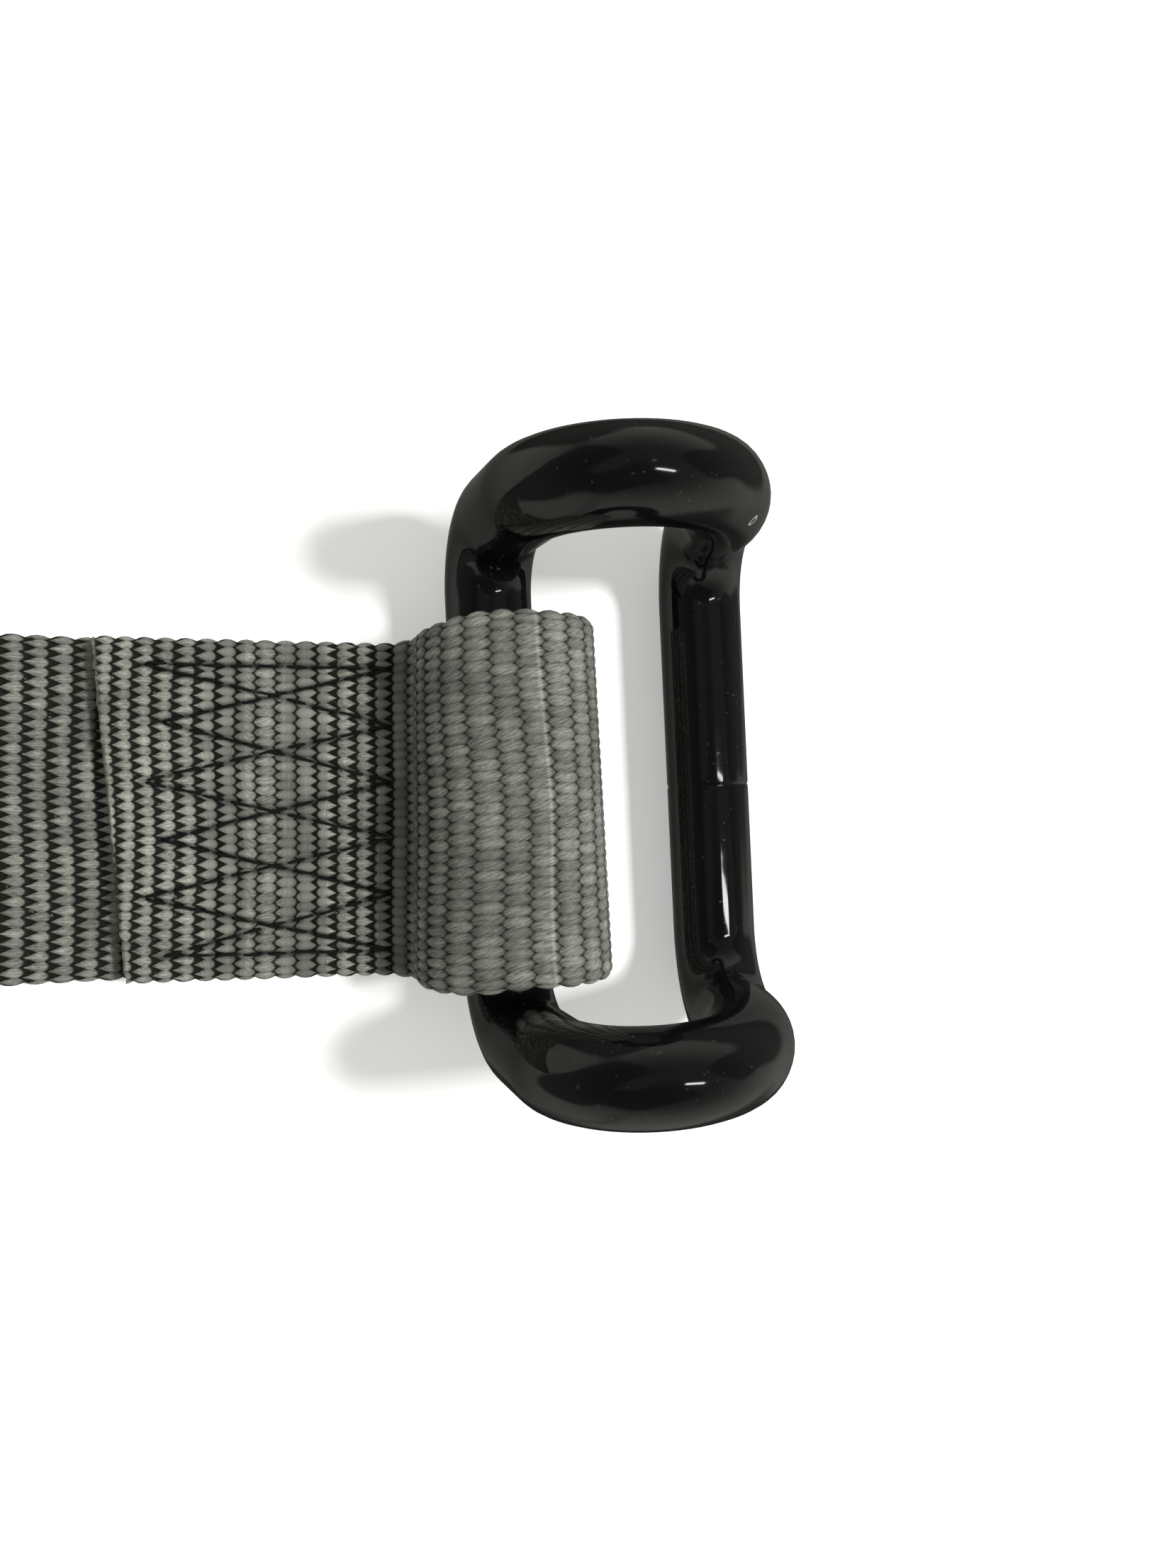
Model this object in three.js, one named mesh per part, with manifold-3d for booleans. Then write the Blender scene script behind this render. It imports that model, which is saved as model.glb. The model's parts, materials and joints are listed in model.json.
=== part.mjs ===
// Curtain strap with a closed wire hook: a length of woven webbing is folded round one bar of a
// coated rod hook, doubled back on itself and sewn with a zigzag seam.
// Millimetres, +Z up. The strap lies flat on z = 0, its free end towards -X and the hook towards
// +X. The origin is on the webbing's underside, straight below the bar that the webbing holds.

import * as THREE from 'three';
import { mergeVertices } from 'three/addons/utils/BufferGeometryUtils.js';
import Module from 'manifold-3d';

const wasm = await Module();
wasm.setup();

// Webbing
const webbingWidth = 50;
const webbingThickness = 2.8;
const strapLength = 500;
const layerGap = 0.3;
const flapLength = 52.2;
const flapSkew = 5;
const barGap = 0.8;

// The eye: its height over all, how far its front bend lies beyond the bar and its back bend
// behind it, the hollow bend at the flap's foot, and how far the bar has pulled the eye out of
// square and to one side
const eyeHeight = 21.5;
const eyeSlack = 3.9;
const eyeBack = 1;
const footRadius = 5.2;
const eyeSkew = 3.5;
const eyeShift = 1.8;

// How far the seam draws each edge of the webbing in, and over what length it recovers
const edgePull = 1.4;
const pullStart = 3;
const pullRise = 14;
const pullEnd = 46;
const pullFall = 60;

// Hook, a closed ring of coated rod bent over into a U
const rodDiameter = 12;
const armClearance = 4;
const strapCornerRadius = 10;
const tipCornerRadius = 11.2;
const strapLegAngle = 82.4;
const strapLegLength = 19.4;
const crownRadius = 12.5;
const crownTurn = 139;
const shoulderRadius = 30;
const shoulderTurn = 26;
const tipLegLength = 14.6;

// How the hook lies in the eye: slid along its bar until one arm is near the webbing's edge, and a
// little out of square to the webbing
const hookSlide = 2.35;
const hookSkew = 3;

// Seam
const threadDiameter = 0.9;
const threadClearance = 0.3;
const seamStart = 14.8;
const seamEndMargin = 4.2;
const seamStagger = 2.3;
const seamMargin = 3.7;
const seamRows = 5;

// Smoothness
const degreesPerStep = 11;
const rodSides = 14;

const rodRadius = rodDiameter / 2;
const barHeight = webbingThickness + barGap + rodRadius;
const bendRadius = (eyeHeight - webbingThickness) / 2;
const bendHeight = eyeHeight / 2;
const seamLength = flapLength - seamEndMargin - seamStart;
const flapBottom = webbingThickness + layerGap;
const flapTop = flapBottom + webbingThickness;
const flapMiddle = flapBottom + webbingThickness / 2;
const armOffset = webbingWidth / 2 + armClearance + rodRadius;

const radians = THREE.MathUtils.degToRad;

// Solids

function solidOf(geometry) {
  const bare = geometry.index ? geometry.toNonIndexed() : geometry.clone();
  bare.deleteAttribute('normal');
  bare.deleteAttribute('uv');
  const merged = mergeVertices(bare, 1e-4);
  return new wasm.Manifold(new wasm.Mesh({
    numProp: 3,
    vertProperties: merged.attributes.position.array,
    triVerts: new Uint32Array(merged.index.array),
  }));
}

function geometryOf(solid) {
  const { vertProperties, triVerts } = solid.getMesh();
  const geometry = new THREE.BufferGeometry();
  geometry.setAttribute('position', new THREE.BufferAttribute(vertProperties, 3));
  geometry.setIndex(new THREE.BufferAttribute(triVerts, 1));
  const faceted = geometry.toNonIndexed();
  faceted.computeVertexNormals();
  return faceted;
}

function joined(solids) {
  return solids.reduce((whole, piece) => whole.add(piece));
}

// A closed outline extruded by depth along its own third axis.
function prism(outline, depth) {
  return new THREE.ExtrudeGeometry(new THREE.Shape(outline), { depth, bevelEnabled: false });
}

// A box from its lowest to its highest corner.
function boxSolid(low, high) {
  const size = high.clone().sub(low);
  const box = new THREE.BoxGeometry(size.x, size.y, size.z);
  const middle = low.clone().add(high).multiplyScalar(0.5);
  return solidOf(box.translate(middle.x, middle.y, middle.z));
}

// Webbing

// Points and directions along the middle of the webbing, in the side view: x, then height.
function webbingPath() {
  const path = [];
  const put = (x, z, heading) => path.push({ at: new THREE.Vector2(x, z), heading });
  const bend = (cx, cz, radius, from, to, turn) => {
    const steps = Math.ceil(Math.abs(to - from) / degreesPerStep);
    for (let i = 0; i <= steps; i += 1) {
      const angle = radians(from + ((to - from) * i) / steps);
      put(cx + radius * Math.cos(angle), cz + radius * Math.sin(angle), angle + turn);
    }
  };
  const quarter = Math.PI / 2;
  put(-strapLength, webbingThickness / 2, 0);
  bend(eyeSlack, bendHeight, bendRadius, -90, 90, quarter);

  // back over the bar, then a hollow bend down onto the lower layer
  const drop = bendHeight - flapMiddle - footRadius;
  const footReach = Math.sqrt((bendRadius + footRadius) ** 2 - drop ** 2);
  const turnEnd = 180 + THREE.MathUtils.radToDeg(Math.asin(drop / (bendRadius + footRadius)));
  const foot = { x: -eyeBack - footReach, z: flapMiddle + footRadius };
  bend(-eyeBack, bendHeight, bendRadius, 90, turnEnd, quarter);
  bend(foot.x, foot.z, footRadius, turnEnd - 180, -90, -quarter);
  put(-flapLength - webbingThickness, flapMiddle, Math.PI);
  return path;
}

// The webbing's outline in the side view: one face of the band out, the other face back.
function webbingOutline() {
  const side = (reach) => webbingPath().map(({ at, heading }) => new THREE.Vector2(
    at.x - reach * Math.sin(heading),
    at.y + reach * Math.cos(heading),
  ));
  const outer = side(-webbingThickness / 2);
  const inner = side(webbingThickness / 2);
  const outline = [...outer, ...inner.reverse()];
  return outline.filter((p, i) => i === 0 || p.distanceTo(outline[i - 1]) > 1e-3);
}

// How far each edge is drawn in at x: nothing at the eye, all of edgePull beside the seam.
function pullAt(x) {
  const rise = THREE.MathUtils.smoothstep(-x, pullStart, pullStart + pullRise);
  const fall = THREE.MathUtils.smoothstep(-x, pullEnd, pullEnd + pullFall);
  return edgePull * (rise - fall);
}

// How much of the eye's skew and shift the webbing has at x: none behind the flap's foot, all of it
// at the front bend.
function eyeShare(x) {
  return THREE.MathUtils.smoothstep(x, -seamStart, eyeSlack);
}

// The webbing's outline seen from above.
function planOutline() {
  const far = strapLength + webbingThickness;
  const right = eyeSlack + eyeHeight + webbingThickness;
  const stations = [right];
  const spans = [[-eyeSlack, pullStart, 5], [pullStart, pullStart + pullRise, 6],
    [pullEnd, pullEnd + pullFall, 8]];
  for (const [from, to, steps] of spans) {
    for (let i = 0; i < steps; i += 1) stations.push(-(from + ((to - from) * i) / steps));
  }
  stations.push(-pullEnd - pullFall, -far);
  const edge = (side) => stations.map((x) => new THREE.Vector2(
    x,
    side * (webbingWidth / 2 - pullAt(x)) + eyeShift * eyeShare(x),
  ));
  return [...edge(1), ...edge(-1).reverse()];
}

// The front of the eye lies along the skewed bar, and the flap behind its foot stays square.
function skewEye(geometry) {
  const { position } = geometry.attributes;
  for (let i = 0; i < position.count; i += 1) {
    const x = position.getX(i);
    position.setX(i, x - position.getY(i) * Math.tan(radians(eyeSkew)) * eyeShare(x));
  }
  return geometry;
}

function webbingBand() {
  const reach = webbingWidth + 2 * eyeShift + 2;
  const profile = prism(webbingOutline(), reach).translate(0, 0, -reach / 2);
  skewEye(profile.rotateX(Math.PI / 2));
  const plan = prism(planOutline(), eyeHeight + 2).translate(0, 0, -1);
  return solidOf(profile).intersect(solidOf(plan));
}

// What the slanting cut takes off the end of the flap, clear of the layer below.
function flapTrimming() {
  const half = webbingWidth;
  const long = 4 * webbingThickness + webbingWidth * Math.tan(radians(Math.abs(flapSkew)));
  const trim = boxSolid(
    new THREE.Vector3(-long, -half, webbingThickness + layerGap / 2),
    new THREE.Vector3(0, half, flapTop + 1),
  );
  return trim.rotate([0, 0, flapSkew]).translate([-flapLength, 0, 0]);
}

// Seam

// Needle points where the two zigzags turn. At the flap's end every other turn is a little short.
function needlePoints() {
  const half = webbingWidth / 2 - edgePull - seamMargin;
  const rows = [];
  for (let i = 0; i <= seamRows; i += 1) {
    const y = half - (2 * half * i) / seamRows;
    const short = i % 2 === 0 ? 0 : seamStagger;
    rows.push({
      near: new THREE.Vector2(-seamStart, y),
      far: new THREE.Vector2(-seamStart - seamLength + short, y),
    });
  }
  return rows;
}

// The straight runs of thread between needle points: two crossing zigzags, closed at both edges.
function seamRuns() {
  const rows = needlePoints();
  const runs = [[rows[0].near, rows[0].far], [rows[seamRows].near, rows[seamRows].far]];
  for (let i = 0; i < seamRows; i += 1) {
    runs.push([rows[i].near, rows[i + 1].far], [rows[i].far, rows[i + 1].near]);
  }
  return runs;
}

// A run of thread as a bar between two heights, wider and longer by grow on every side.
function threadRun([from, to], low, high, grow) {
  const along = to.clone().sub(from);
  const half = threadDiameter / 2 + grow;
  const bar = boxSolid(
    new THREE.Vector3(-half, -half, low),
    new THREE.Vector3(along.length() + half, half, high),
  );
  return bar.rotate([0, 0, THREE.MathUtils.radToDeg(along.angle())]).translate([from.x, from.y, 0]);
}

// The thread, or with clearance the room it takes in the webbing: runs on the top face, runs on
// the underside, and a post through both layers at each needle point.
function seamSolid(clearance) {
  const sunk = threadDiameter / 2;
  const room = clearance > 0 ? 1 : 0;
  const topLow = flapTop - sunk - clearance;
  const topHigh = flapTop + threadDiameter * 0.2 + room;
  const underLow = threadDiameter * 0.1 - room;
  const underHigh = threadDiameter * 0.6 + clearance;
  const pieces = [];
  for (const run of seamRuns()) {
    pieces.push(threadRun(run, topLow, topHigh, clearance));
    pieces.push(threadRun(run, underLow, underHigh, clearance));
  }
  for (const { near, far } of needlePoints()) {
    for (const point of [near, far]) {
      const half = threadDiameter / 2 + clearance;
      pieces.push(boxSolid(
        new THREE.Vector3(point.x - half, point.y - half, underLow),
        new THREE.Vector3(point.x + half, point.y + half, topHigh),
      ));
    }
  }
  return joined(pieces);
}

// Hook

// The hook's centre line as a closed curve, one whole number of steps to each straight or bend.
class RodLine extends THREE.Curve {
  constructor(points) {
    super();
    this.points = points;
  }

  getPoint(t, target = new THREE.Vector3()) {
    const place = t * this.points.length;
    const i = Math.floor(place) % this.points.length;
    const next = this.points[(i + 1) % this.points.length];
    return target.copy(this.points[i]).lerp(next, place - Math.floor(place));
  }

  getPointAt(u, target) {
    return this.getPoint(u, target);
  }

  getTangentAt(u, target = new THREE.Vector3()) {
    const n = this.points.length;
    const i = Math.round(u * n) % n;
    return target.copy(this.points[(i + 1) % n]).sub(this.points[(i + n - 1) % n]).normalize();
  }
}

// The side view of an arm: the points from the strap bar's axis to the tip bar's axis, with the
// direction along the arm at each. The first and last stretch are where the corners begin.
function armLine() {
  const line = [];
  let at = new THREE.Vector2(0, 0);
  let heading = strapLegAngle;
  const ahead = () => new THREE.Vector2(Math.cos(radians(heading)), Math.sin(radians(heading)));
  const put = () => line.push({ at: at.clone(), ahead: ahead() });
  const straight = (length) => {
    at = at.clone().add(ahead().multiplyScalar(length));
    put();
  };
  const bend = (radius, turn) => {
    const steps = Math.ceil(turn / degreesPerStep);
    const chord = 2 * radius * Math.sin(radians(turn / steps / 2));
    for (let i = 0; i < steps; i += 1) {
      heading -= turn / steps / 2;
      at = at.clone().add(ahead().multiplyScalar(chord));
      heading -= turn / steps / 2;
      put();
    }
  };
  straight(strapCornerRadius);
  straight(strapLegLength - strapCornerRadius);
  bend(crownRadius, crownTurn);
  bend(shoulderRadius, shoulderTurn);
  straight(Math.max(tipLegLength - tipCornerRadius, 0.5));
  const tip = at.clone().add(ahead().multiplyScalar(tipCornerRadius));
  return { line, tip };
}

// A corner between a bar along Y and an arm, from the bar to the arm.
function corner(bar, ahead, side, radius) {
  const steps = Math.ceil(90 / degreesPerStep);
  const points = [];
  for (let i = 0; i <= steps; i += 1) {
    const angle = radians((90 * i) / steps);
    const out = radius * (1 - Math.cos(angle));
    points.push(new THREE.Vector3(
      bar.x + ahead.x * out,
      side * (armOffset - radius * (1 - Math.sin(angle))),
      bar.y + ahead.y * out,
    ));
  }
  return points;
}

// All the points of the ring, once round: strap bar, one arm, tip bar, the other arm.
function ringPoints() {
  const { line, tip } = armLine();
  const backwards = line[line.length - 1].ahead.clone().negate();
  const half = (side) => [
    ...corner(new THREE.Vector2(0, 0), line[0].ahead, side, strapCornerRadius),
    ...line.slice(1, -1).map(({ at }) => new THREE.Vector3(at.x, side * armOffset, at.y)),
    ...corner(tip, backwards, side, tipCornerRadius).reverse(),
  ];
  return [...half(1), ...half(-1).reverse()];
}

// The turn about the strap bar that sets the tip bar down on the ground.
function restAngle() {
  const { tip } = armLine();
  return Math.atan2(tip.y, tip.x) - Math.asin((rodRadius - barHeight) / tip.length());
}

// Parts

const webbingMaterial = new THREE.MeshStandardMaterial({
  color: 0x585a54, roughness: 0.9, metalness: 0,
});
const threadMaterial = new THREE.MeshStandardMaterial({
  color: 0x1b1b1a, roughness: 0.7, metalness: 0,
});
const hookMaterial = new THREE.MeshStandardMaterial({
  color: 0x0b0b0c, roughness: 0.12, metalness: 0,
});

function webbingStrap() {
  const solid = webbingBand().subtract(flapTrimming()).subtract(seamSolid(threadClearance));
  const mesh = new THREE.Mesh(geometryOf(solid), webbingMaterial);
  mesh.name = 'webbing_strap';
  return mesh;
}

function seamThread() {
  const mesh = new THREE.Mesh(geometryOf(seamSolid(0)), threadMaterial);
  mesh.name = 'seam_thread';
  return mesh;
}

function wireHook() {
  const line = new RodLine(ringPoints());
  const tube = new THREE.TubeGeometry(line, line.points.length, rodRadius, rodSides, true);
  const mesh = new THREE.Mesh(tube, hookMaterial);
  mesh.name = 'wire_hook';
  mesh.rotation.y = restAngle();
  mesh.position.y = hookSlide + eyeShift;
  return mesh;
}

// The hook as it lies in the eye, about the bar's axis.
const hookInEye = new THREE.Group();
hookInEye.position.z = barHeight;
hookInEye.rotation.z = radians(hookSkew);
hookInEye.add(wireHook());

const strap = new THREE.Group();
strap.add(webbingStrap(), seamThread(), hookInEye);

export default strap;
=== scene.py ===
# A length of woven strap, folded round one bar of a coated rod hook and sewn down with a zigzag
# seam. The frame gives the bodies and the hinge. The script works in metres, and strap sizes are
# written in millimetres times MM.

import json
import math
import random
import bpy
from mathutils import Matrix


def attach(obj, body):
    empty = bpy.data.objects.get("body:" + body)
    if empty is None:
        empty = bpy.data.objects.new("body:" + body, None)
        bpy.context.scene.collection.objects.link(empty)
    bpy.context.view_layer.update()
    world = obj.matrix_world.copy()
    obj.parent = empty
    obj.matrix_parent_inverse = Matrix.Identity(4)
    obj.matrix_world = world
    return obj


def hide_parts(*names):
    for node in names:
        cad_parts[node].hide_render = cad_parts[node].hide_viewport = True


bl_info = {
    "name": "Strap with a wire hook",
    "version": (1, 0, 0),
    "blender": (4, 5, 0),
    "location": "View3D > Sidebar > Strap",
    "description": "Woven strap sewn round one bar of a coated rod hook",
    "category": "Add Mesh",
}

import bpy
import numpy as np
from mathutils import Matrix, Vector

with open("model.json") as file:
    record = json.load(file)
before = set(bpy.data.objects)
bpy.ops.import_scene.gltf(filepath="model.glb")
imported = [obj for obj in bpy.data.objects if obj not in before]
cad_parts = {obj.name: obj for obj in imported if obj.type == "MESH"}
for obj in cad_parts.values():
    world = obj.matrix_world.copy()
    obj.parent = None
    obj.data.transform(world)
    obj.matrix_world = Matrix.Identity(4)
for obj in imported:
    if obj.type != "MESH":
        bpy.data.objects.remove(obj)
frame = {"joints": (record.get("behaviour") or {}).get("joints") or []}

MM = 0.001
HINGE = frame["joints"][0]
BAR_HEIGHT = HINGE["pos_m"][2]
HOOK_SKEW = math.atan2(HINGE["axis"][0], -HINGE["axis"][1])
WEAVE_MAP = "weave"


# Settings


def length_property(name, description, default):
    return bpy.props.FloatProperty(
        name=name, description=description, default=default, unit="LENGTH"
    )


def angle_property(name, description, degrees):
    return bpy.props.FloatProperty(
        name=name, description=description, default=math.radians(degrees), subtype="ANGLE"
    )


def colour_property(name, description, default):
    return bpy.props.FloatVectorProperty(
        name=name, description=description, default=default, subtype="COLOR", size=3
    )


class StrapSettings(bpy.types.PropertyGroup):
    """The webbing's sizes, from its free end round the hook's bar to the flap's cut end"""

    width: length_property("Width", "Webbing width", 50 * MM)
    thickness: length_property("Thickness", "Webbing thickness", 2.8 * MM)
    length: length_property("Length", "Hook bar to free end", 500 * MM)
    layer_gap: length_property("Layer gap", "Between the sewn layers", 0.3 * MM)
    flap_length: length_property("Flap", "Hook bar to the cut end", 52.2 * MM)
    flap_skew: angle_property("Cut skew", "Cut out of square", 5)
    eye_height: length_property("Eye height", "Over the folded eye", 21.5 * MM)
    eye_slack: length_property("Eye slack", "Front bend past the bar", 3.9 * MM)
    eye_back: length_property("Eye back", "Back bend behind the bar", 1 * MM)
    foot_radius: length_property("Foot bend", "Hollow bend at the flap", 5.2 * MM)
    eye_skew: angle_property("Eye skew", "Eye out of square", 3.5)
    eye_shift: length_property("Eye shift", "Eye pulled sideways", 1.8 * MM)
    edge_pull: length_property("Edge pull", "Drawn in by the seam", 1.4 * MM)
    column: length_property("Column", "Weave column along the strap", 3.2 * MM)
    sewn_column: length_property("Sewn column", "Column in the seam", 2.7 * MM)
    cut_column: length_property("Cut column", "Column at the cut", 2.4 * MM)
    yarns: bpy.props.IntProperty(
        name="Yarns", description="Yarns from the middle to an edge", default=18, min=6
    )
    lift: length_property("Lift", "Yarn height up and down", 0.22 * MM)
    crown: length_property("Crown", "Roundness across a yarn", 0.7 * MM)
    colour: colour_property("Colour", "Yarn colour", (0.246, 0.25, 0.222))
    # The gap colour is painted shade, put into the gaps between the yarns
    gap_shade_colour: colour_property("Gap colour", "Between the yarns", (0.007, 0.007, 0.006))
    cut_colour: colour_property("Cut colour", "Melted cut end", (0.30, 0.30, 0.24))


class ThreadSettings(bpy.types.PropertyGroup):
    """The seam's sizes"""

    diameter: length_property("Diameter", "Thread diameter", 0.45 * MM)
    stitch: length_property("Stitch", "Stitch length", 3.6 * MM)
    sink: length_property("Sink", "How deep a stitch lies", 0.66 * MM)
    start: length_property("Start", "Bar to the first stitches", 14.8 * MM)
    end_margin: length_property("End margin", "Seam to the cut", 4.2 * MM)
    stagger: length_property("Stagger", "Short turns by this much", 2.3 * MM)
    margin: length_property("Margin", "Seam to the edge", 3.7 * MM)
    rows: bpy.props.IntProperty(name="Rows", description="Zigzag rows", default=5, min=2)
    colour: colour_property("Colour", "Thread colour", (0.006, 0.006, 0.006))


class HookSettings(bpy.types.PropertyGroup):
    """The hook's sizes along one half of the ring, from the strap bar to the tip bar"""

    rod: length_property("Rod", "Diameter over the coating", 12 * MM)
    arm_offset: length_property("Arm offset", "Middle to an arm's axis", 35 * MM)
    strap_corner: length_property("Strap corner", "Corner bend, strap bar", 10 * MM)
    tip_corner: length_property("Tip corner", "Corner bend, tip bar", 11.2 * MM)
    leg_angle: angle_property("Leg angle", "Rise of the strap leg", 82.4)
    leg: length_property("Strap leg", "Bar to crown", 19.4 * MM)
    crown: length_property("Crown", "Crown radius", 12.5 * MM)
    crown_turn: angle_property("Crown turn", "Crown bend", 139)
    shoulder: length_property("Shoulder", "Shoulder radius", 30 * MM)
    shoulder_turn: angle_property("Shoulder turn", "Shoulder bend", 26)
    tip_leg: length_property("Tip leg", "Shoulder to tip bar", 14.6 * MM)
    slide: length_property("Slide", "Slid along its bar", 2.35 * MM)
    joint_place: length_property("Butt joint", "Rod's butt joint", -2.3 * MM)
    sides: bpy.props.IntProperty(name="Sides", description="Rod sides", default=40, min=12)
    colour: colour_property("Colour", "Coating colour", (0.004, 0.004, 0.0042))


class StageSettings(bpy.types.PropertyGroup):
    """Camera, floor and light"""

    camera_place: bpy.props.FloatVectorProperty(
        name="Camera", description="Camera place", size=3, subtype="TRANSLATION",
        default=(-17.4 * MM, 5.8 * MM, 158.2 * MM),
    )
    camera_turn: bpy.props.FloatVectorProperty(
        name="Camera turn", description="Camera angles", size=3, subtype="EULER",
        default=(math.radians(-0.83), math.radians(-11.48), math.radians(0.2)),
    )
    lens: bpy.props.FloatProperty(name="Lens", description="Focal length in mm", default=24.4)
    floor_size: length_property("Floor", "Floor side", 6.0)
    floor_colour: colour_property("Floor colour", "Floor colour", (0.88, 0.88, 0.88))
    room_colour: colour_property("Room colour", "Room light", (1.0, 1.0, 0.92))
    room_strength: bpy.props.FloatProperty(
        name="Room strength", description="Brightness of the room light", default=0.42, min=0
    )


# Selection and objects


def select_only(*objects):
    for other in bpy.context.selected_objects:
        other.select_set(False)
    for wanted in objects:
        wanted.select_set(True)
    if objects:
        bpy.context.view_layer.objects.active = objects[0]


def start_editing(piece, mode, action="DESELECT"):
    """Opens edit mode on one object with all or nothing selected."""
    select_only(piece)
    bpy.ops.object.mode_set(mode="EDIT")
    bpy.ops.mesh.select_mode(type=mode)
    bpy.ops.mesh.select_all(action=action)


def select_points(piece, near):
    """Leaves the faces whose corners are all near selected, in face mode."""
    start_editing(piece, "FACE")
    bpy.ops.object.mode_set(mode="OBJECT")
    mesh = piece.data
    for polygon in mesh.polygons:
        polygon.select = all(near[v] for v in polygon.vertices)
    bpy.ops.object.mode_set(mode="EDIT")


def object_of(name, points, faces):
    mesh = bpy.data.meshes.new(name)
    mesh.from_pydata(points, [], faces)
    piece = bpy.data.objects.new(name, mesh)
    bpy.context.scene.collection.objects.link(piece)
    select_only(piece)
    return piece


def coordinates(mesh):
    flat = np.empty(3 * len(mesh.vertices))
    mesh.vertices.foreach_get("co", flat)
    return flat.reshape(-1, 3)


def set_coordinates(mesh, points):
    mesh.vertices.foreach_set("co", points.ravel())
    mesh.update()


def point_values(mesh, name):
    values = np.empty(len(mesh.vertices))
    mesh.attributes[name].data.foreach_get("value", values)
    return values


def add_point_values(mesh, name, values):
    attribute = mesh.attributes.new(name, "FLOAT", "POINT")
    attribute.data.foreach_set("value", np.asarray(values, dtype=np.float32))


def smoothstep(values, low, high):
    share = np.clip((values - low) / (high - low), 0, 1)
    return share * share * (3 - 2 * share)


def past(distance, place, start, end):
    """0 before a place and 1 after it, rising from start to end in millimetres beyond it."""
    return smoothstep(distance, place + start * MM, place + end * MM)


class Drift:
    """Slow random waves over two directions, from -1 to 1 or so, the same at every run."""

    def __init__(self, seed, wavelength, waves=7):
        rng = random.Random(seed)
        self.waves = []
        for _ in range(waves):
            angle = rng.uniform(0, math.tau)
            pace = math.tau / (wavelength * rng.uniform(0.6, 1.6))
            self.waves.append(
                (pace * math.cos(angle), pace * math.sin(angle), rng.uniform(0, math.tau))
            )

    def at(self, along, across):
        total = sum(np.sin(a * along + b * across + c) for a, b, c in self.waves)
        return total / math.sqrt(len(self.waves))


# Node trees


class Wiring:
    """Adds nodes to one tree. A socket given as an input is joined, anything else is its value."""

    def __init__(self, tree):
        self.tree = tree

    def feed(self, socket, value):
        if isinstance(value, bpy.types.NodeSocket):
            self.tree.links.new(value, socket)
        else:
            socket.default_value = value

    def node(self, kind, **settings):
        made = self.tree.nodes.new(kind)
        for name, value in settings.items():
            setattr(made, name, value)
        return made

    def math(self, operation, first, second=None, third=None):
        made = self.node("ShaderNodeMath", operation=operation)
        for socket, value in zip(made.inputs, (first, second, third)):
            if value is not None:
                self.feed(socket, value)
        return made.outputs[0]

    def product(self, first, *others):
        for other in others:
            first = self.math("MULTIPLY", first, other)
        return first

    def ramp(self, value, low, high, to_low=0.0, to_high=1.0):
        made = self.node("ShaderNodeMapRange", interpolation_type="SMOOTHSTEP", clamp=True)
        for name, given in (
            ("Value", value), ("From Min", low), ("From Max", high),
            ("To Min", to_low), ("To Max", to_high),
        ):
            self.feed(made.inputs[name], given)
        return made.outputs["Result"]

    def mix(self, share, first, second):
        """A blend of two colours."""
        made = self.node("ShaderNodeMix", data_type="RGBA")
        self.feed(made.inputs["Factor"], share)
        for socket, value in ((made.inputs[6], first), (made.inputs[7], second)):
            if not isinstance(value, bpy.types.NodeSocket) and len(value) == 3:
                value = (*value, 1)
            self.feed(socket, value)
        return made.outputs[2]

    def mix_numbers(self, share, first, second):
        made = self.node("ShaderNodeMix", data_type="FLOAT")
        for socket, value in zip(made.inputs[0:1] + made.inputs[2:4], (share, first, second)):
            self.feed(socket, value)
        return made.outputs[0]

    def noise(self, vector, scale, detail=2.0, roughness=0.5):
        made = self.node("ShaderNodeTexNoise")
        for name, value in (
            ("Vector", vector), ("Scale", scale), ("Detail", detail), ("Roughness", roughness),
        ):
            self.feed(made.inputs[name], value)
        return made.outputs["Fac"]

    def parts(self, vector):
        made = self.node("ShaderNodeSeparateXYZ")
        self.feed(made.inputs[0], vector)
        return made.outputs

    def vector(self, *values):
        made = self.node("ShaderNodeCombineXYZ")
        for socket, value in zip(made.inputs, values):
            self.feed(socket, value)
        return made.outputs[0]

    def attribute(self, name):
        return self.node("ShaderNodeAttribute", attribute_name=name).outputs["Fac"]

    def group(self, tree, **values):
        made = self.node("ShaderNodeGroup")
        made.node_tree = tree
        for name, value in values.items():
            self.feed(made.inputs[name.replace("_", " ")], value)
        return made.outputs


def new_group(name, inputs, outputs):
    """An empty node group, with its wiring and its own input sockets."""
    tree = bpy.data.node_groups.new(name, "ShaderNodeTree")
    for label, kind, default in inputs:
        socket = tree.interface.new_socket(name=label, in_out="INPUT", socket_type=kind)
        if default is not None:
            socket.default_value = default
    for label, kind in outputs:
        tree.interface.new_socket(name=label, in_out="OUTPUT", socket_type=kind)
    wiring = Wiring(tree)
    given = wiring.node("NodeGroupInput").outputs
    return tree, wiring, given, wiring.node("NodeGroupOutput").inputs


# A pointed yarn widens over this length in columns, with this curve, from this least share. A
# yarn's half width is in yarn pitches, and a steep yarn dives well before its column's end.
TAPER_LENGTH = 0.75
TAPER_CURVE = 0.8
TAPER_LEAST = 0.02
TIGHT_HALF_WIDTH = 0.80
LOOSE_HALF_WIDTH = 0.81
TIGHT_STEEPNESS = 1.22
LOOSE_STEEPNESS = 1.0

# Heights in yarn lifts: the deepest gap, where the painted shade in a gap is darkest, and how
# much lower a loose yarn counts for that shade
GAP_FLOOR = -1.3
GAP_SHADE_DARKEST = -0.5
LOOSE_LOWER = -0.17

# The fibre pattern's scale along a column and across a yarn, and its slant on a loose yarn
FIBRES_ALONG = 2.2
FIBRES_ACROSS = 6.0
FIBRE_SLANT = 5.0

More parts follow.
